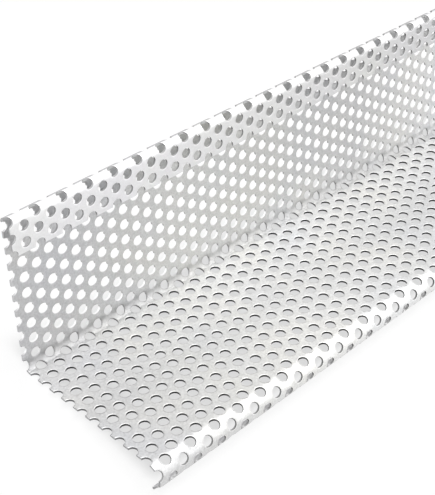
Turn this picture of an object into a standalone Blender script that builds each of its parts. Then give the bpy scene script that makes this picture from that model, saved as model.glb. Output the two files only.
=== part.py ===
"""Perforated aluminium angle: one sheet, punched flat, then folded into an angle
with a hemmed upper edge and a rolled front edge. Metres, +Z up, long side along X.

The blank is punched and scored at its bend lines while it is flat. Each of its
points is then carried through the folded section, so every hole lies where the
press brake would leave it."""

import math

import bmesh
import bpy
from mathutils import Matrix

# Sheet and punching
LENGTH = 0.500
THICK = 0.0010
PITCH = 0.0080
HOLE_D = 0.0050
HOLE_SIDES = 6
OPEN_COLUMNS = 12
MIN_WEB = 0.0004

# The grid of larger openings that stands for the holes beyond the whole columns
GRID_ACROSS = 12
GRID_MARGIN = 0.0080

# Section, to the middle of the sheet
LEG_HEIGHT = 0.07645
BASE_DEPTH = 0.0813
OPENED_DEG = 1.8
CORNER_R = 0.0048
HEM_R = 0.0026
HEM_RETURN = 0.0146
ROLL_R = 0.0060
ROLL_DEG = 165.0

# Facets of the bends
HEM_FACETS = 5
CORNER_FACETS = 4
ROLL_FACETS = 7

# Height above the sharp corner of hole row 0, in pitches
ROW_ZERO = 6.8145

COLUMN_STEP = PITCH * math.sqrt(3.0) / 2.0


def start_scene():
    """Clear the scene and add the two collections."""
    for old in list(bpy.data.objects):
        bpy.data.objects.remove(old, do_unlink=True)
    scene = bpy.context.scene
    scene.unit_settings.system = "METRIC"
    scene.unit_settings.scale_length = 1.0
    parts = bpy.data.collections.new("aluminium_angle")
    cutters = bpy.data.collections.new("cutters")
    scene.collection.children.link(parts)
    scene.collection.children.link(cutters)
    return parts, cutters


def section_steps():
    """The folded section as (flat length, turn before it) steps from the hem's edge.

    A bend of radius R turns by A in m facets: the turn is shared as A/2m, A/m ...
    A/2m, and each facet takes R * A / m of the flat sheet."""
    corner = math.radians(90.0 - OPENED_DEG)
    tangent = CORNER_R * math.tan(corner / 2.0)
    steps = [(HEM_RETURN, 0.0, HEM_RETURN)]

    def bend(radius, angle, facets):
        turn = angle / facets
        flat = radius * abs(turn)
        chord = 2.0 * radius * math.sin(abs(turn) / 2.0)
        for i in range(facets):
            steps.append((flat, turn / 2.0 if i == 0 else turn, chord))
        return turn / 2.0

    last = bend(HEM_R, -math.pi, HEM_FACETS)
    steps.append((LEG_HEIGHT - tangent, last, LEG_HEIGHT - tangent))
    last = bend(CORNER_R, -corner, CORNER_FACETS)
    steps.append((BASE_DEPTH - tangent, last, BASE_DEPTH - tangent))
    bend(ROLL_R, math.radians(ROLL_DEG), ROLL_FACETS)
    return steps


def fold_table(steps):
    """For each bend line: its place on the flat sheet, its point, and its mitre."""
    heading = math.radians(90.0 - OPENED_DEG)
    y, z, flat = 0.0, 0.0, 0.0
    points = [(y, z)]
    flats = [0.0]
    headings = []
    for length, turn, chord in steps:
        heading += turn
        headings.append(heading)
        y += chord * math.cos(heading)
        z += chord * math.sin(heading)
        flat += length
        points.append((y, z))
        flats.append(flat)
    mitres = []
    for i in range(len(points)):
        before = headings[max(i - 1, 0)]
        after = headings[min(i, len(headings) - 1)]
        mean = (before + after) / 2.0
        grow = 1.0 / math.cos((after - before) / 2.0)
        mitres.append((-math.sin(mean) * grow, math.cos(mean) * grow))
    return flats, points, mitres


def rest_turn(points, mitres):
    """The turn about X that lays the section on its two lowest supports.

    The supports are the ends of the lower hull edge that is under the centroid."""
    outline = []
    for (y, z), (my, mz) in zip(points, mitres):
        outline.append((y + my * THICK / 2.0, z + mz * THICK / 2.0))
        outline.append((y - my * THICK / 2.0, z - mz * THICK / 2.0))
    moment, total = 0.0, 0.0
    for a, b in zip(points, points[1:]):
        span = math.dist(a, b)
        moment += span * (a[0] + b[0]) / 2.0
        total += span
    centre = moment / total
    hull = []
    for point in sorted(outline):
        while len(hull) > 1:
            (ay, az), (by, bz) = hull[-2], hull[-1]
            if (by - ay) * (point[1] - az) - (bz - az) * (point[0] - ay) > 0.0:
                break
            hull.pop()
        hull.append(point)
    for (ay, az), (by, bz) in zip(hull, hull[1:]):
        if ay <= centre <= by:
            return -math.atan2(bz - az, by - ay)
    return 0.0


def row_flat(row, flats):
    """Where hole row `row` lies on the flat sheet, measured from the hem's edge."""
    corner = math.radians(90.0 - OPENED_DEG)
    tangent = CORNER_R * math.tan(corner / 2.0)
    leg_end = flats[1 + HEM_FACETS + 1]
    return leg_end + tangent - (ROW_ZERO - row) * PITCH


def corner_radius(area):
    """Corner radius of the opening's polygon, from its area."""
    wedge = 2.0 * math.pi / HOLE_SIDES
    return math.sqrt(area * 2.0 / (HOLE_SIDES * math.sin(wedge)))


def hole_area():
    return math.pi * HOLE_D ** 2 / 4.0


def hole_places(flats):
    """Each punched hole kept in the solid, as (x, flat, corner radius).

    Whole columns stand at the left cut end and one more at the right cut end.
    Along the rest, the holes that the two long edges run through are kept. A hole
    that would leave less than MIN_WEB beside a long edge isn't punched."""
    width = flats[-1]
    reach = corner_radius(hole_area())
    side = reach * math.cos(math.pi / HOLE_SIDES)
    places = []
    column = 0
    shift = PITCH / 2.0
    x = 0.0
    while x - reach < LENGTH:
        whole = column < OPEN_COLUMNS or x + reach > LENGTH
        start = math.ceil((-side - row_flat(0.0, flats) - shift) / PITCH)
        flat = row_flat(start, flats) + shift
        while flat < width + side:
            gap = min(flat, width - flat)
            opens_edge = abs(gap) < side - MIN_WEB
            if opens_edge or (whole and gap > side + MIN_WEB):
                places.append((x - LENGTH / 2.0, flat, reach))
            flat += PITCH
        x += COLUMN_STEP
        shift = PITCH / 2.0 - shift
        column += 1
    return places


def grid_places(flats):
    """The larger openings beyond the whole columns, as (x, flat, corner radius).

    They lie in rows on the two flat legs, staggered as the holes are, and each
    opens the same share of its cell as the holes open of the sheet."""
    share = hole_area() / (COLUMN_STEP * PITCH)
    start = OPEN_COLUMNS * COLUMN_STEP + GRID_MARGIN
    step = (LENGTH - 2.0 * GRID_MARGIN - start) / GRID_ACROSS
    leg_start = flats[1 + HEM_FACETS]
    leg_end = flats[2 + HEM_FACETS]
    base_start = flats[2 + HEM_FACETS + CORNER_FACETS]
    base_end = flats[3 + HEM_FACETS + CORNER_FACETS]
    places = []
    for low, high in ((leg_start, leg_end), (base_start, base_end)):
        rows = max(1, round((high - low) / step))
        spacing = (high - low) / rows
        radius = corner_radius(share * step * spacing)
        for row in range(rows):
            lean = step / 4.0 if row % 2 else -step / 4.0
            flat = low + (row + 0.5) * spacing
            for i in range(GRID_ACROSS):
                x = start + (i + 0.5) * step + lean - LENGTH / 2.0
                places.append((x, flat, radius))
    return places


def punched_blank(name, flats, collection, cutters):
    """The flat sheet with its holes: X along the length, Y across, Z through it."""
    width = flats[-1]
    mesh = bpy.data.meshes.new(name)
    blank = bpy.data.objects.new(name, mesh)
    collection.objects.link(blank)
    shape = bmesh.new()
    bmesh.ops.create_cube(shape, size=1.0)
    bmesh.ops.scale(shape, vec=(LENGTH, width, THICK), verts=shape.verts)
    bmesh.ops.translate(shape, vec=(0.0, width / 2.0, 0.0), verts=shape.verts)
    shape.to_mesh(mesh)
    shape.free()

    quarter = Matrix.Rotation(math.pi / 2.0, 4, "Z")
    punch = bmesh.new()
    for x, flat, radius in hole_places(flats) + grid_places(flats):
        bmesh.ops.create_cone(
            punch,
            cap_ends=True,
            segments=HOLE_SIDES,
            radius1=radius,
            radius2=radius,
            depth=THICK * 3.0,
            matrix=Matrix.Translation((x, flat, 0.0)) @ quarter,
        )
    punch_mesh = bpy.data.meshes.new("punch")
    punch.to_mesh(punch_mesh)
    punch.free()
    punches = bpy.data.objects.new("punch", punch_mesh)
    punches.hide_render = True
    punches.display_type = "WIRE"
    cutters.objects.link(punches)

    cut = blank.modifiers.new("punch_holes", "BOOLEAN")
    cut.operation = "DIFFERENCE"
    cut.solver = "EXACT"
    cut.object = punches
    return blank


def fold(blank, flats, points, mitres, turn):
    """Apply the punching, score the bend lines and fold the sheet to its section."""
    graph = bpy.context.evaluated_depsgraph_get()
    sheet = bmesh.new()
    sheet.from_object(blank, graph)
    blank.modifiers.clear()
    for flat in flats[1:-1]:
        bmesh.ops.bisect_plane(
            sheet,
            geom=sheet.verts[:] + sheet.edges[:] + sheet.faces[:],
            dist=1e-7,
            plane_co=(0.0, flat, 0.0),
            plane_no=(0.0, 1.0, 0.0),
        )
    bmesh.ops.triangulate(
        sheet, faces=sheet.faces[:], quad_method="BEAUTY", ngon_method="BEAUTY"
    )
    cos, sin = math.cos(turn), math.sin(turn)
    for vert in sheet.verts:
        place = min(max(vert.co.y, 0.0), flats[-1])
        i = 0
        while i < len(flats) - 2 and place > flats[i + 1]:
            i += 1
        share = (place - flats[i]) / (flats[i + 1] - flats[i])
        off = vert.co.z
        ends = []
        for k in (i, i + 1):
            ends.append(
                (points[k][0] + mitres[k][0] * off, points[k][1] + mitres[k][1] * off)
            )
        y = ends[0][0] * (1.0 - share) + ends[1][0] * share
        z = ends[0][1] * (1.0 - share) + ends[1][1] * share
        vert.co.y = y * cos - z * sin
        vert.co.z = y * sin + z * cos
    low = min(v.co.z for v in sheet.verts)
    middle = (min(v.co.y for v in sheet.verts) + max(v.co.y for v in sheet.verts)) / 2.0
    bmesh.ops.translate(sheet, vec=(0.0, -middle, -low), verts=sheet.verts)
    bmesh.ops.recalc_face_normals(sheet, faces=sheet.faces)
    sheet.to_mesh(blank.data)
    sheet.free()


def mill_aluminium():
    """Plain mill-finish aluminium."""
    material = bpy.data.materials.new("mill_aluminium")
    material.use_nodes = True
    shader = material.node_tree.nodes["Principled BSDF"]
    shader.inputs["Base Color"].default_value = (0.80, 0.80, 0.81, 1.0)
    shader.inputs["Metallic"].default_value = 1.0
    shader.inputs["Roughness"].default_value = 0.38
    return material


def main():
    parts, cutters = start_scene()
    flats, points, mitres = fold_table(section_steps())
    turn = rest_turn(points, mitres)
    angle = punched_blank("perforated_angle", flats, parts, cutters)
    bpy.context.view_layer.update()
    fold(angle, flats, points, mitres, turn)
    angle.data.materials.append(mill_aluminium())


main()
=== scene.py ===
import math

import bmesh
import bpy
import numpy as np
from mathutils import Matrix, Vector


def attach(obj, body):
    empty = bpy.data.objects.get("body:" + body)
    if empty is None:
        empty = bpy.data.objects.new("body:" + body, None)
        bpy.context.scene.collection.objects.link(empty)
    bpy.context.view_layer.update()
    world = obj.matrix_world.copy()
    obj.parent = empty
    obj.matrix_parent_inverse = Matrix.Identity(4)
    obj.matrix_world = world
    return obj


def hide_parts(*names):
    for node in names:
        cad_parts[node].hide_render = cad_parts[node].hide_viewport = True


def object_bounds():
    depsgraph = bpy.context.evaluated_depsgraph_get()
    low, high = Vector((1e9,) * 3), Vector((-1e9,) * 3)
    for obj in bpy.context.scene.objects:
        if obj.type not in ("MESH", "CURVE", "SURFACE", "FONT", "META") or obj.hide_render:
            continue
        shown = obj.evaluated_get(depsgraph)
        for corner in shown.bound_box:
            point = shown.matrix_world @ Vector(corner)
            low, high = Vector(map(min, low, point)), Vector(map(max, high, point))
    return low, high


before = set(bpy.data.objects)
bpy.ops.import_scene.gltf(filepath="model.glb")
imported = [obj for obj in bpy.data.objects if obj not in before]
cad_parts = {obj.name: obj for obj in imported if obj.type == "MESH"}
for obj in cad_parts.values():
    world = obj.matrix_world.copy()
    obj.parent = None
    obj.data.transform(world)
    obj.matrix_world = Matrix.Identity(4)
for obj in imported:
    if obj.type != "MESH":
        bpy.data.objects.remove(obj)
cad_low, cad_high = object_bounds()

# Sheet and punching, in metres
LENGTH = 0.500
THICK = 0.0010
PITCH = 0.0080
HOLE_R = 0.0025
HOLE_POINTS = 14
RIM_WIDTH = 0.0004
RIM_DEPTH = 0.00012
COLUMN_STEP = PITCH * math.sqrt(3.0) / 2.0

# Section, to the middle of the sheet
LEG_HEIGHT = 0.07645
BASE_DEPTH = 0.0813
OPENED = math.radians(1.8)
CORNER_TURN = math.pi / 2.0 - OPENED
CORNER_R = 0.0048
HEM_R = 0.0026
HEM_RETURN = 0.0146
ROLL_R = 0.0060
ROLL_TURN = math.radians(165.0)
REST_TURN = math.radians(-8.51)
TANGENT = CORNER_R * math.tan(CORNER_TURN / 2.0)

# Which of the section's runs is the corner's bend, counted from 0
CORNER_RUN = 3

# Hole rows count down the leg, and row zero is this many pitches above its corner
ROW_ZERO = 6.8145
FIRST_ROW = -6.0
LAST_ROW = 19.0

# The photograph's camera: height and focal length in pixels, the sensor along that
# height in millimetres, place in pitches, and how far it is turned from the base's
# depth, dipped and rolled. It draws what lies between the two clip distances
PHOTO_HEIGHT = 495.0
PHOTO_FOCAL = 1130.0
SENSOR = 36.0
PHOTO_PLACE = (-26.35, -40.79, 40.98)
PHOTO_TURN = math.radians(-44.78)
PHOTO_DIP = math.radians(35.04)
PHOTO_ROLL = math.radians(-0.42)
CLIP = (0.01, 50.0)

# Facets of the bends
HEM_FACETS = 10
CORNER_FACETS = 6
ROLL_FACETS = 11

# Points along the section's middle line
CURVE_POINTS = 8001

# Points of the flat sheet are merged on a grid of this many steps to the metre, a cut
# goes through the points this near it, and angles this near are equal
MERGE_STEPS = 1e6
CUT_NEAR = 2e-5
ANGLE_NEAR = 1e-9

# The UVs hold the place on the flat sheet, in decimetres
UV_SCALE = 10.0

# Edges that turn by more than this are sharp
SHARP_TURN = math.radians(40.0)

# A wall counts as facing down from the first of these dips on, fully at the second
DIPS = (-0.15, 0.35)

# The mill finish: soft clouds between two tints, fine grain, and rolling lines along
# the sheet that vary in roughness and height. Each is a noise of some scale and detail.
# A hole's rim has a painted highlight: it is a little brighter
OUTER_TINTS = ((0.97, 0.965, 0.98), (0.99, 0.99, 0.98))
INNER_TINTS = ((0.92, 0.925, 0.94), (0.96, 0.955, 0.94))
OUTER_GRAIN = 0.03
INNER_GRAIN = 0.10
CLOUDS = (30.0, 3.0)
CLOUD_EDGES = (0.35, 0.65)
GRAIN = (1100.0, 2.0)
GRAIN_EDGES = (0.30, 0.70)
LINES = (3.0, 2.0)
LINE_STRETCH = (3.0, 260.0, 1.0)
LINE_ROUGHNESS = (0.37, 0.52)
LINE_BUMP = 0.15
LINE_DEPTH = 0.0002
RIM_PAINTED_HIGHLIGHT = 0.12

# How bright each face is across the flat sheet, by share of its width, as painted light
# and shade: painted shade in the corner bend that hides its highlight, painted light on
# the base beside it, and a painted highlight on the roll
INNER_PAINTED_LIGHT_AND_SHADE = (
    (0.186, 0.85),
    (0.194, 0.81),
    (0.31, 0.82),
    (0.42, 0.78),
    (0.475, 0.78),
    (0.49, 0.54),
    (0.508, 0.52),
    (0.526, 1.00),
    (0.545, 1.00),
    (0.605, 0.90),
    (0.715, 0.75),
    (0.84, 0.73),
    (0.925, 0.69),
    (0.945, 0.92),
    (0.968, 0.94),
    (0.980, 0.70),
)
# On the outer face: painted light on the hem's return, painted shade along the hem's crest
OUTER_PAINTED_LIGHT_AND_SHADE = (
    (0.000, 0.97),
    (0.080, 1.00),
    (0.0935, 1.00),
    (0.0975, 0.62),
    (0.108, 0.66),
    (0.135, 0.92),
)

# Their painted light and shade along the length, from the near end on, on the leg and on
# the base, with the share of blue in it
INNER_PAINTED_LIGHT_ALONG = (
    (
        (0.04, 0.76, 1.02),
        (0.12, 0.77, 1.00),
        (0.21, 0.80, 0.98),
        (0.32, 0.76, 0.99),
        (0.45, 0.75, 1.01),
        (0.61, 1.00, 0.99),
        (0.70, 1.00, 0.99),
        (0.90, 0.78, 1.00),
    ),
    (
        (0.04, 0.79, 1.00),
        (0.12, 0.87, 0.98),
        (0.21, 0.96, 0.99),
        (0.32, 0.99, 0.99),
        (0.45, 0.93, 0.99),
        (0.61, 0.83, 1.01),
    ),
)
OUTER_PAINTED_LIGHT_ALONG = (
    (
        (0.04, 0.89, 1.01),
        (0.21, 0.82, 1.00),
        (0.45, 0.77, 0.99),
        (0.60, 0.71, 1.02),
    ),
    (
        (0.00, 0.87, 1.01),
        (0.60, 0.80, 1.00),
    ),
)

# The walls of the holes carry painted light and shade: they are bright and metallic in
# the leg as painted light, and matt in the base as painted shade, where they are darkest
# along the inner face
WALL_PAINTED_LIGHT_AND_SHADE = (
    (0.09, 0.90),
    (0.12, 0.98),
    (0.47, 0.98),
    (0.50, 0.35),
    (0.52, 0.05),
    (0.905, 0.05),
    (0.935, 0.07),
    (0.955, 0.25),
    (0.975, 0.80),
)
WALL_DEEP_PAINTED_LIGHT_AND_SHADE = (
    (0.09, 0.60),
    (0.12, 0.98),
    (0.47, 0.98),
    (0.50, 0.60),
    (0.52, 0.08),
    (0.905, 0.08),
    (0.935, 0.35),
    (0.975, 0.95),
)
WALL_METAL = (
    (0.09, 0.3),
    (0.12, 1.0),
    (0.47, 1.0),
    (0.51, 0.3),
)

# Where the cut end is along the length, and where the base begins across the sheet
AT_CUT_END = (
    (0.001, 1.0),
    (0.005, 0.0),
)
PAST_CORNER = (
    (0.48, 0.0),
    (0.52, 1.0),
)

# Painted shade for a wall that faces down, a wall at the near cut end, and the walls' gloss
SHADED_WALL = (0.18, 0.18, 0.18, 1.0)
SAWN_WALL = (0.55, 0.55, 0.56, 1.0)
WALL_ROUGHNESS = 0.38
WALL_SPECULAR = 0.2

# The lamps' places, sizes and powers
FRONT_RIGHT = ((1.27, -1.27, 1.10), (2.0, 2.0), 12.0)
OVERHEAD = ((0.30, 0.10, 1.90), (1.6, 1.6), 24.0)
LEFT = ((-1.60, 0.40, 0.60), (1.0, 0.8), 8.0)

# The studio: fill light from all round, how white the backdrop looks, and how white the
# floor looks to the camera and in the metal
FILL_LIGHT = 0.22
BACKDROP = 1.0
FLOOR_SIZE = 12.0
FLOOR_DROP = 0.0002
FLOOR_GREY = (0.18, 0.18, 0.18, 1.0)
FLOOR_ROUGHNESS = 0.9
FLOOR_SEEN = 0.86
FLOOR_IN_METAL = 0.80

# The floor glows more with distance, where less of the lamps' light reaches it
FAR_RANGE = (0.4, 2.4)
FAR_GLOW = 0.38

# It glows less beneath the part, as a painted shadow: the share that is kept, and along
# each side of the part where that starts and where it is full
PAINTED_SHADOW_SHARE = 0.72
PAINTED_SHADOW_SIDES = (
    ("Y", (-0.0485, -0.0400)),
    ("Y", (0.0620, 0.0380)),
    ("X", (-0.2500, -0.2420)),
    ("X", (0.2500, 0.2420)),
)


def section_runs():
    """The folded section as runs from the hem's free edge to the roll's free edge.

    Each run is (flat length, turn over that length, facets)."""
    return (
        (HEM_RETURN, 0.0, 0),
        (math.pi * HEM_R, -math.pi, HEM_FACETS),
        (LEG_HEIGHT - TANGENT, 0.0, 0),
        (CORNER_R * CORNER_TURN, -CORNER_TURN, CORNER_FACETS),
        (BASE_DEPTH - TANGENT, 0.0, 0),
        (ROLL_TURN * ROLL_R, ROLL_TURN, ROLL_FACETS),
    )


def section_curve():
    """The section's middle line, as (flat, y, z, heading), with the corner's place.

    The heading turns evenly along each bend, and the point is the running sum of
    the heading's cosine and sine. It is then turned to rest on heel and roll."""
    flat_at = [0.0]
    heading_at = [math.pi / 2.0 - OPENED + REST_TURN]
    for length, turn, _ in section_runs():
        flat_at.append(flat_at[-1] + length)
        heading_at.append(heading_at[-1] + turn)
    flat = np.linspace(0.0, flat_at[-1], CURVE_POINTS)
    heading = np.interp(flat, flat_at, heading_at)
    middle = (heading[1:] + heading[:-1]) / 2.0
    step = np.diff(flat)
    y = np.concatenate(([0.0], np.cumsum(step * np.cos(middle))))
    z = np.concatenate(([0.0], np.cumsum(step * np.sin(middle))))
    leg_end = flat_at[CORNER_RUN]
    leg_heading = heading_at[CORNER_RUN]
    corner = np.array([
        np.interp(leg_end, flat, y) + TANGENT * math.cos(leg_heading),
        np.interp(leg_end, flat, z) + TANGENT * math.sin(leg_heading),
    ])
    return flat, y, z, heading, flat_at, corner


FLAT, MID_Y, MID_Z, HEADING, FLAT_AT, CORNER = section_curve()
WIDTH = FLAT_AT[-1]
ROW_ZERO_FLAT = FLAT_AT[CORNER_RUN] + TANGENT - ROW_ZERO * PITCH


def seat_on_frame():
    """How far the section moves to stand on the floor, centred as the solid is."""
    reach = THICK / 2.0
    side_y = np.sin(HEADING) * reach
    side_z = np.cos(HEADING) * reach
    ys = np.concatenate((MID_Y - side_y, MID_Y + side_y))
    zs = np.concatenate((MID_Z + side_z, MID_Z - side_z))
    middle = (cad_low.y + cad_high.y) / 2.0
    return middle - (ys.min() + ys.max()) / 2.0, cad_low.z - zs.min()


SEAT_Y, SEAT_Z = seat_on_frame()


def folded(x, flat, off):
    """Points of the folded sheet: the middle line's point, plus its normal times off."""
    heading = np.interp(flat, FLAT, HEADING)
    y = np.interp(flat, FLAT, MID_Y) - np.sin(heading) * off + SEAT_Y
    z = np.interp(flat, FLAT, MID_Z) + np.cos(heading) * off + SEAT_Z
    return np.stack((x, y, z), axis=-1)


def cell_template():
    """One hole in its cell: ring points, frame points and the triangles between.

    The ring is a circle by angle. The frame is the cell's rectangle, with a point
    at half height on each upright side, where the next column's corner lies. Both
    are sorted by angle, and each edge of one is joined to the point of the other
    that comes last before it."""
    ring_angle = np.arange(HOLE_POINTS) * 2.0 * math.pi / HOLE_POINTS
    ring = HOLE_R * np.stack((np.cos(ring_angle), np.sin(ring_angle)), axis=-1)
    half_x = COLUMN_STEP / 2.0
    half_d = PITCH / 2.0
    rect = np.array([
        (half_x, 0.0), (half_x, half_d), (-half_x, half_d),
        (-half_x, 0.0), (-half_x, -half_d), (half_x, -half_d),
    ])
    rect_angle = np.mod(np.arctan2(rect[:, 1], rect[:, 0]), 2.0 * math.pi)
    n = len(ring)
    m = len(rect)
    ring_next = np.append(ring_angle[1:], 2.0 * math.pi)
    rect_next = np.append(rect_angle[1:], 2.0 * math.pi)
    last_rect = np.searchsorted(rect_angle, ring_next - ANGLE_NEAR, side="right") - 1
    last_ring = np.searchsorted(ring_next, rect_next + ANGLE_NEAR, side="right") % n
    i = np.arange(n)
    j = np.arange(m)
    on_ring = np.stack((i, n + last_rect, (i + 1) % n), axis=-1)
    on_rect = np.stack((last_ring, n + j, n + (j + 1) % m), axis=-1)
    return np.concatenate((ring, rect)), np.concatenate((on_ring, on_rect))


def flat_sheet():
    """The punched sheet laid flat, as (x, flat) points and triangles.

    A cell stands at every column and at every second half row, which are the whole
    rows in odd columns. Points that neighbouring cells share are merged by place."""
    points, triangles = cell_template()
    columns = np.arange(int(LENGTH / COLUMN_STEP) + 2)
    rows = np.arange(FIRST_ROW, LAST_ROW + 1.0, 0.5)
    column, row = np.meshgrid(columns, rows, indexing="ij")
    staggered = (column % 2 == 0) == (np.mod(row, 1.0) > 0.25)
    x = column[staggered] * COLUMN_STEP
    flat = ROW_ZERO_FLAT + row[staggered] * PITCH
    centres = np.stack((x, flat), axis=-1)
    places = (centres[:, None, :] + points[None, :, :]).reshape(-1, 2)
    faces = np.arange(len(centres))[:, None, None] * len(points) + triangles[None]
    keys = np.round(places * MERGE_STEPS).astype(np.int64)
    _, first, inverse = np.unique(keys, axis=0, return_index=True, return_inverse=True)
    return places[first], inverse.reshape(-1)[faces.reshape(-1, 3)]


def bend_lines():
    """The flat places where the sheet is scored into facets, both ends included."""
    lines = []
    start = 0.0
    for length, _, facets in section_runs():
        if facets:
            lines.extend(start + length * np.arange(facets + 1) / facets)
        start += length
    return [line for line in lines if line < WIDTH - CUT_NEAR]


def trimmed_and_scored(points, triangles):
    """Cut the flat sheet at its four edges, then along each bend line."""
    mesh = bpy.data.meshes.new("flat_blank")
    flat_points = np.column_stack((points, np.zeros(len(points))))
    mesh.from_pydata(flat_points, [], triangles.tolist())
    sheet = bmesh.new()
    sheet.from_mesh(mesh)
    bpy.data.meshes.remove(mesh)

    def cut(place, normal, clear):
        geometry = sheet.verts[:] + sheet.edges[:] + sheet.faces[:]
        bmesh.ops.bisect_plane(
            sheet, geom=geometry, dist=CUT_NEAR, plane_co=place, plane_no=normal,
            clear_outer=clear,
        )

    cut((0.0, 0.0, 0.0), (-1.0, 0.0, 0.0), True)
    cut((LENGTH, 0.0, 0.0), (1.0, 0.0, 0.0), True)
    cut((0.0, 0.0, 0.0), (0.0, -1.0, 0.0), True)
    cut((0.0, WIDTH, 0.0), (0.0, 1.0, 0.0), True)
    for line in bend_lines():
        cut((0.0, line, 0.0), (0.0, 1.0, 0.0), False)
    loose = [v for v in sheet.verts if not v.link_faces]
    bmesh.ops.delete(sheet, geom=loose, context="VERTS")
    bmesh.ops.triangulate(sheet, faces=sheet.faces[:])
    made = bpy.data.meshes.new("scored_blank")
    sheet.to_mesh(made)
    sheet.free()
    place = np.empty(len(made.vertices) * 3)
    made.vertices.foreach_get("co", place)
    made.calc_loop_triangles()
    corners = np.empty(len(made.loop_triangles) * 3, dtype=np.int64)
    made.loop_triangles.foreach_get("vertices", corners)
    bpy.data.meshes.remove(made)
    return place.reshape(-1, 3)[:, :2], corners.reshape(-1, 3)


def thickened(places, triangles):
    """Both faces of the folded sheet and the walls between them.

    The walls stand on every edge that only one triangle has."""
    count = len(places)
    x = places[:, 0] - LENGTH / 2.0
    flat = places[:, 1]
    left = folded(x, flat, THICK / 2.0)
    right = folded(x, flat, -THICK / 2.0)
    ends = np.concatenate((triangles[:, [0, 1]], triangles[:, [1, 2]], triangles[:, [2, 0]]))
    low = ends.min(axis=1).astype(np.int64)
    high = ends.max(axis=1).astype(np.int64)
    _, first, uses = np.unique(low * count + high, return_index=True, return_counts=True)
    rim = ends[first[uses == 1]]
    walls = np.column_stack((rim[:, 1], rim[:, 0], rim[:, 0] + count, rim[:, 1] + count))
    points = np.concatenate((left, right))
    return points, triangles, triangles[:, ::-1] + count, walls


def facing_down(points, walls):
    """How far each wall faces down: 0 from the first of the DIPS, 1 from the second.

    A wall's dip is the third part of its unit normal, turned round. The normal is
    the cross product of its diagonals."""
    wall = points[walls]
    normal = np.cross(wall[:, 2] - wall[:, 0], wall[:, 3] - wall[:, 1])
    dip = -normal[:, 2] / np.linalg.norm(normal, axis=1)
    return np.interp(dip, DIPS, (0.0, 1.0))


def sheet_mesh(name):
    """The whole perforated angle as one closed mesh with its place on the sheet as UVs.

    Each wall also has how far it faces down, and each point has its depth: 0 on the
    inner face and 1 on the outer."""
    places, triangles = trimmed_and_scored(*flat_sheet())
    points, upper, lower, walls = thickened(places, triangles)
    corners = np.concatenate((upper.reshape(-1), lower.reshape(-1), walls.reshape(-1)))
    sizes = np.concatenate((np.full(len(upper) + len(lower), 3), np.full(len(walls), 4)))
    starts = np.concatenate(([0], np.cumsum(sizes)[:-1]))
    mesh = bpy.data.meshes.new(name)
    mesh.vertices.add(len(points))
    mesh.loops.add(len(corners))
    mesh.polygons.add(len(sizes))
    mesh.vertices.foreach_set("co", points.astype(np.float32).reshape(-1))
    mesh.loops.foreach_set("vertex_index", corners.astype(np.int32))
    mesh.polygons.foreach_set("loop_start", starts.astype(np.int32))
    finish = np.repeat((0, 1, 2), (len(upper), len(lower), len(walls))).astype(np.int32)
    mesh.polygons.foreach_set("material_index", finish)
    down = np.zeros(len(sizes), dtype=np.float32)
    down[-len(walls):] = facing_down(points, walls)
    faces_down = mesh.attributes.new("faces_down", "FLOAT", "FACE")
    faces_down.data.foreach_set("value", down)
    depth = mesh.attributes.new("depth", "FLOAT", "POINT")
    depth.data.foreach_set("value", np.repeat((1.0, 0.0), len(places)).astype(np.float32))
    uv = mesh.uv_layers.new(name="sheet")
    spread = np.tile(places, (2, 1))[corners]
    uv.data.foreach_set("uv", (spread * UV_SCALE).astype(np.float32).reshape(-1))
    mesh.update(calc_edges=True)
    mesh.validate()
    mesh.shade_smooth()
    mesh.set_sharp_from_angle(angle=SHARP_TURN)
    print("triangles", len(upper) * 2 + len(walls) * 2)
    return mesh


def new_material(name):
    """A material, its node tree and its shader."""
    material = bpy.data.materials.new(name)
    material.use_nodes = True
    return material, material.node_tree, material.node_tree.nodes["Principled BSDF"]


def feed(tree, socket, part):
    """Link another node's socket in, or set a plain value."""
    if isinstance(part, bpy.types.NodeSocket):
        tree.links.new(part, socket)
    else:
        socket.default_value = part


def number(tree, operation, *parts):
    """The result of a Math node, its parts filled in by order."""
    node = tree.nodes.new("ShaderNodeMath")
    node.operation = operation
    for socket, part in zip(node.inputs, parts):
        feed(tree, socket, part)
    return node.outputs[0]


def vector(tree, operation, *parts):
    """A Vector Math node, its parts filled in by order."""
    node = tree.nodes.new("ShaderNodeVectorMath")
    node.operation = operation
    for socket, part in zip(node.inputs, parts):
        feed(tree, socket, part)
    return node


def ranged(tree, value, source, target, curve="LINEAR"):
    """A value carried from the source range to the target range."""
    node = tree.nodes.new("ShaderNodeMapRange")
    node.interpolation_type = curve
    node.inputs["From Min"].default_value = source[0]
    node.inputs["From Max"].default_value = source[1]
    node.inputs["To Min"].default_value = target[0]
    node.inputs["To Max"].default_value = target[1]
    tree.links.new(value, node.inputs["Value"])
    return node.outputs["Result"]


def noise(tree, place, scale, detail):
    """A noise of this scale and detail."""
    node = tree.nodes.new("ShaderNodeTexNoise")
    node.inputs["Scale"].default_value = scale
    node.inputs["Detail"].default_value = detail
    tree.links.new(place, node.inputs["Vector"])
    return node.outputs["Fac"]


def mixed(tree, share, first, second):
    """A colour between two: the first at share 0, the second at share 1.

    The node's sockets for colours are its inputs 6 and 7 and its output 2."""
    node = tree.nodes.new("ShaderNodeMix")
    node.data_type = "RGBA"
    feed(tree, node.inputs["Factor"], share)
    feed(tree, node.inputs[6], first)
    feed(tree, node.inputs[7], second)
    return node.outputs[2]


def attribute(tree, name):
    """A number stored in the mesh."""
    node = tree.nodes.new("ShaderNodeAttribute")
    node.attribute_name = name
    return node.outputs["Fac"]


def part_of(tree, place, axis):
    """One axis of a place."""
    split = tree.nodes.new("ShaderNodeSeparateXYZ")
    tree.links.new(place, split.inputs["Vector"])
    return split.outputs[axis]


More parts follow.
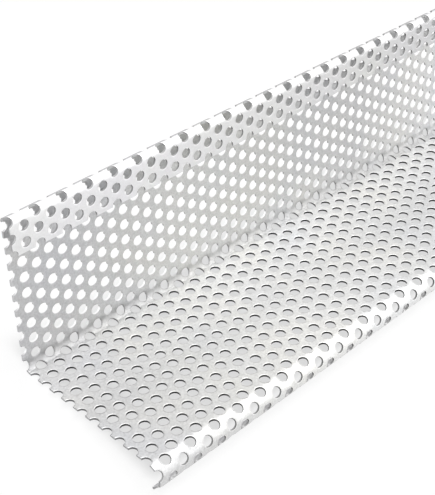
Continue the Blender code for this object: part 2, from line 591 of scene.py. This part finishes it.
def tone_along(tree, place, axis, size, tones):
    """A tone by the share of the flat sheet's size along an axis.

    Each stop is a share and a brightness, with a share of blue where it has a cast."""
    share = number(tree, "DIVIDE", part_of(tree, place, axis), size * UV_SCALE)
    tone = tree.nodes.new("ShaderNodeValToRGB")
    stops = tone.color_ramp.elements
    while len(stops) < len(tones):
        stops.new(0.5)
    for stop, (spot, bright, *blue) in zip(stops, tones):
        stop.position = spot
        stop.color = (bright, bright, bright * (blue[0] if blue else 1.0), 1.0)
    tree.links.new(share, tone.inputs["Fac"])
    return tone.outputs["Color"]


def rolled_over(tree, place):
    """How near a point of the sheet is to a hole's edge: 1 at the edge, 0 from
    RIM_WIDTH outside it.

    The holes stand in two rectangular lattices, one for every second column. The
    distance to a lattice is the length of the place wrapped to one of its cells."""
    half_cell = (COLUMN_STEP * UV_SCALE, PITCH / 2.0 * UV_SCALE, 0.0)
    other_half = (-half_cell[0], -half_cell[1], 0.0)
    reaches = []
    for first_x, first_flat in (
        (0.0, ROW_ZERO_FLAT + PITCH / 2.0),
        (COLUMN_STEP, ROW_ZERO_FLAT),
    ):
        first = (first_x * UV_SCALE, first_flat * UV_SCALE, 0.0)
        shifted = vector(tree, "SUBTRACT", place, first)
        cell = vector(tree, "WRAP", shifted.outputs["Vector"], half_cell, other_half)
        reaches.append(vector(tree, "LENGTH", cell.outputs["Vector"]).outputs["Value"])
    nearest = number(tree, "MINIMUM", *reaches)
    ring = (HOLE_R * UV_SCALE, (HOLE_R + RIM_WIDTH) * UV_SCALE)
    return ranged(tree, nearest, ring, (1.0, 0.0), "SMOOTHSTEP")


def bumped(tree, height, strength, distance):
    """A Bump node over this height."""
    node = tree.nodes.new("ShaderNodeBump")
    node.inputs["Strength"].default_value = strength
    node.inputs["Distance"].default_value = distance
    tree.links.new(height, node.inputs["Height"])
    return node


def mill_finish(name, tints, grain_share, tones, painted_light_along):
    """Bare rolled aluminium: a cloudy, grainy tint, with painted light and shade across and
    along the sheet, with rolling lines, and with turned-over rims round the holes that
    carry a painted highlight."""
    material, tree, shader = new_material(name)
    shader.inputs["Metallic"].default_value = 1.0
    coords = tree.nodes.new("ShaderNodeTexCoord")
    body = coords.outputs["Object"]
    place = coords.outputs["UV"]
    rim = rolled_over(tree, place)

    tint = tree.nodes.new("ShaderNodeValToRGB")
    for stop, spot, colour in zip(tint.color_ramp.elements, CLOUD_EDGES, tints):
        stop.position = spot
        stop.color = (*colour, 1.0)
    tree.links.new(noise(tree, body, *CLOUDS), tint.inputs["Fac"])
    grain = noise(tree, body, *GRAIN)
    speckle = ranged(tree, grain, GRAIN_EDGES, (1.0 - grain_share, 1.0 + grain_share))
    speckled = vector(tree, "SCALE", tint.outputs["Color"])
    # A painted highlight on each hole's rim, added to the grain's speckle
    speckle_and_rim_highlight = number(tree, "MULTIPLY_ADD", rim, RIM_PAINTED_HIGHLIGHT, speckle)
    tree.links.new(speckle_and_rim_highlight, speckled.inputs["Scale"])

    # Painted light and shade across the sheet, and along it on the leg and on the base
    leg_painted_light, base_painted_light = (tone_along(tree, place, "X", LENGTH, stops) for stops in painted_light_along)
    past_corner = tone_along(tree, place, "Y", WIDTH, PAST_CORNER)
    colour = speckled.outputs["Vector"]
    for tone in (
        tone_along(tree, place, "Y", WIDTH, tones),
        mixed(tree, past_corner, leg_painted_light, base_painted_light),
    ):
        colour = vector(tree, "MULTIPLY", colour, tone).outputs["Vector"]
    tree.links.new(colour, shader.inputs["Base Color"])

    stretch = tree.nodes.new("ShaderNodeMapping")
    stretch.inputs["Scale"].default_value = LINE_STRETCH
    tree.links.new(place, stretch.inputs["Vector"])
    lines = noise(tree, stretch.outputs["Vector"], *LINES)
    roughness = ranged(tree, lines, (0.0, 1.0), LINE_ROUGHNESS)
    tree.links.new(roughness, shader.inputs["Roughness"])
    drawn = bumped(tree, lines, LINE_BUMP, LINE_DEPTH)
    edge = bumped(tree, rim, 1.0, RIM_DEPTH)
    edge.invert = True
    tree.links.new(drawn.outputs["Normal"], edge.inputs["Normal"])
    tree.links.new(edge.outputs["Normal"], shader.inputs["Normal"])
    return material


def sheared_edge():
    """The punched and cut edges: painted light and shade by their place on the sheet and
    their depth, painted shade where they face down, and pale at the near cut end."""
    material, tree, shader = new_material("sheared_edge")
    place = tree.nodes.new("ShaderNodeTexCoord").outputs["UV"]
    # Painted light and shade on the walls, by their place and their depth
    by_inner = tone_along(tree, place, "Y", WIDTH, WALL_PAINTED_LIGHT_AND_SHADE)
    by_outer = tone_along(tree, place, "Y", WIDTH, WALL_DEEP_PAINTED_LIGHT_AND_SHADE)
    sawn = tone_along(tree, place, "X", LENGTH, AT_CUT_END)
    colour = mixed(tree, attribute(tree, "depth"), by_inner, by_outer)
    # Painted shade on walls that face down
    colour = mixed(tree, attribute(tree, "faces_down"), colour, SHADED_WALL)
    colour = mixed(tree, sawn, colour, SAWN_WALL)
    tree.links.new(colour, shader.inputs["Base Color"])
    tree.links.new(tone_along(tree, place, "Y", WIDTH, WALL_METAL), shader.inputs["Metallic"])
    shader.inputs["Roughness"].default_value = WALL_ROUGHNESS
    shader.inputs["Specular IOR Level"].default_value = WALL_SPECULAR
    return material


def soft_lamp(name, place, size, power):
    """A rectangular soft lamp aimed at the origin."""
    data = bpy.data.lights.new(name, "AREA")
    data.shape = "RECTANGLE"
    data.size, data.size_y = size
    data.energy = power
    lamp = bpy.data.objects.new(name, data)
    lamp.location = place
    aim = -Vector(place)
    lamp.rotation_euler = aim.to_track_quat("-Z", "Y").to_euler()
    bpy.context.scene.collection.objects.link(lamp)
    return lamp


def seen_directly(tree, by_eye, by_metal):
    """A strength by kind of ray: by_eye for the camera's, by_metal for reflected and
    refracted ones, and 0 for the rest."""
    path = tree.nodes.new("ShaderNodeLightPath").outputs
    bent = number(tree, "MAXIMUM", path["Is Glossy Ray"], path["Is Transmission Ray"])
    eye = number(tree, "MULTIPLY", path["Is Camera Ray"], by_eye)
    return number(tree, "MAXIMUM", eye, number(tree, "MULTIPLY", bent, by_metal))


def white_world():
    """A backdrop that looks white, and lights the part far less than it looks."""
    world = bpy.data.worlds.new("studio")
    bpy.context.scene.world = world
    world.use_nodes = True
    tree = world.node_tree
    fill_light = tree.nodes["Background"]
    backdrop = tree.nodes.new("ShaderNodeBackground")
    for light, strength in ((fill_light, FILL_LIGHT), (backdrop, BACKDROP)):
        light.inputs["Color"].default_value = (1.0, 1.0, 1.0, 1.0)
        light.inputs["Strength"].default_value = strength
    mix = tree.nodes.new("ShaderNodeMixShader")
    tree.links.new(seen_directly(tree, 1.0, 1.0), mix.inputs["Fac"])
    tree.links.new(fill_light.outputs[0], mix.inputs[1])
    tree.links.new(backdrop.outputs[0], mix.inputs[2])
    tree.links.new(mix.outputs[0], tree.nodes["World Output"].inputs["Surface"])


def painted_shadow_under_part(tree, place):
    """The floor's share of glow, with a painted shadow: 1 in the open, falling smoothly
    to the share kept beneath the part. It is the product of one smooth step for each side."""
    product = 1.0
    for axis, edge in PAINTED_SHADOW_SIDES:
        step = ranged(tree, part_of(tree, place, axis), edge, (0.0, 1.0), "SMOOTHSTEP")
        product = number(tree, "MULTIPLY", product, step)
    return ranged(tree, product, (0.0, 1.0), (1.0, PAINTED_SHADOW_SHARE))


def pale_floor():
    """A wide flat floor whose unshaded part is as white as the backdrop."""
    bpy.ops.mesh.primitive_grid_add(x_subdivisions=2, y_subdivisions=2, size=FLOOR_SIZE)
    floor = bpy.context.object
    floor.name = "studio_floor"
    floor.location = (0.0, 0.0, -FLOOR_DROP)
    material, tree, shader = new_material("pale_floor")
    shader.inputs["Base Color"].default_value = FLOOR_GREY
    shader.inputs["Roughness"].default_value = FLOOR_ROUGHNESS
    shader.inputs["Specular IOR Level"].default_value = 0.0
    place = tree.nodes.new("ShaderNodeTexCoord").outputs["Object"]
    away = vector(tree, "LENGTH", place).outputs["Value"]
    far = ranged(tree, away, FAR_RANGE, (0.0, FAR_GLOW), "SMOOTHSTEP")
    seen = seen_directly(tree, FLOOR_SEEN, FLOOR_IN_METAL)
    # A painted shadow: the floor glows less beneath the part
    shadowed_glow = number(tree, "MULTIPLY", seen, painted_shadow_under_part(tree, place))
    glow = tree.nodes.new("ShaderNodeEmission")
    glow.inputs["Color"].default_value = (1.0, 1.0, 1.0, 1.0)
    tree.links.new(number(tree, "ADD", shadowed_glow, far), glow.inputs["Strength"])
    both = tree.nodes.new("ShaderNodeAddShader")
    tree.links.new(shader.outputs[0], both.inputs[0])
    tree.links.new(glow.outputs[0], both.inputs[1])
    tree.links.new(both.outputs[0], tree.nodes["Material Output"].inputs["Surface"])
    floor.data.materials.append(material)


def photo_camera():
    """The camera of the photograph, given in the section's own frame in pitches.

    Its place is measured from the sharp corner of the two legs at the column that
    is one step in from the cut end, with Y along the base and Z square to it."""
    data = bpy.data.cameras.new("camera")
    data.sensor_width = SENSOR
    data.lens = SENSOR * PHOTO_FOCAL / PHOTO_HEIGHT
    data.clip_start, data.clip_end = CLIP
    camera = bpy.data.objects.new("camera", data)
    corner = Vector((COLUMN_STEP - LENGTH / 2.0, CORNER[0] + SEAT_Y, CORNER[1] + SEAT_Z))
    camera.matrix_world = (
        Matrix.Translation(corner)
        @ Matrix.Rotation(REST_TURN, 4, "X")
        @ Matrix.Translation(Vector(PHOTO_PLACE) * PITCH)
        @ Matrix.Rotation(PHOTO_TURN, 4, "Z")
        @ Matrix.Rotation(math.pi / 2.0 - PHOTO_DIP, 4, "X")
        @ Matrix.Rotation(PHOTO_ROLL, 4, "Z")
    )
    bpy.context.scene.collection.objects.link(camera)
    bpy.context.scene.camera = camera


photo_camera()
white_world()
pale_floor()
in_reflections = soft_lamp("front_right", *FRONT_RIGHT)
in_reflections.visible_diffuse = False
soft_lamp("overhead", *OVERHEAD)
soft_lamp("left", *LEFT)

angle = bpy.data.objects.new("punched_sheet", sheet_mesh("punched_sheet"))
bpy.context.scene.collection.objects.link(angle)
for finish in (
    mill_finish("outer_face", OUTER_TINTS, OUTER_GRAIN, OUTER_PAINTED_LIGHT_AND_SHADE, OUTER_PAINTED_LIGHT_ALONG),
    mill_finish("inner_face", INNER_TINTS, INNER_GRAIN, INNER_PAINTED_LIGHT_AND_SHADE, INNER_PAINTED_LIGHT_ALONG),
    sheared_edge(),
):
    angle.data.materials.append(finish)
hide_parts("perforated_angle")
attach(angle, "root")

bpy.context.scene.view_settings.view_transform = "Standard"
